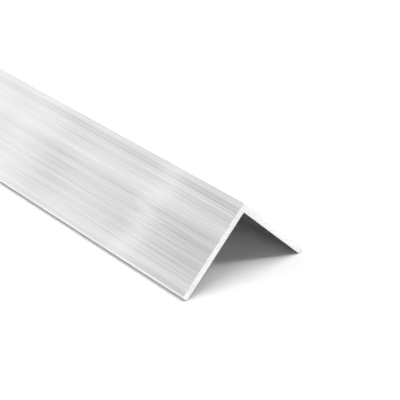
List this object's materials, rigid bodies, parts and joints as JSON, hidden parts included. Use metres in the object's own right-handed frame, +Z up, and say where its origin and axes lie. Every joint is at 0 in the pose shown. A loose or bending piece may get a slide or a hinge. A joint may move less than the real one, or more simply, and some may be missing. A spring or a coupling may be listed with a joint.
{
  "type": "metal angle section",
  "caption": "Straight metal bar of equal-leg L section: two thin flat legs square to each other, crisp corners, plain mill finish, sawn square at both ends.",
  "frame": {"origin": "middle of the bar's footprint, on the level that both toes rest on", "axes": "+X along the bar, +Z up through the heel, +Y across from one toe to the other"},
  "size_m": [1, 0.0422, 0.0223],
  "materials": {
    "aluminium": "mill finish, as extruded, with fine lines along the bar"
  },
  "bodies": {
    "root": {"angle_section": "aluminium"}
  },
  "joints": []
}
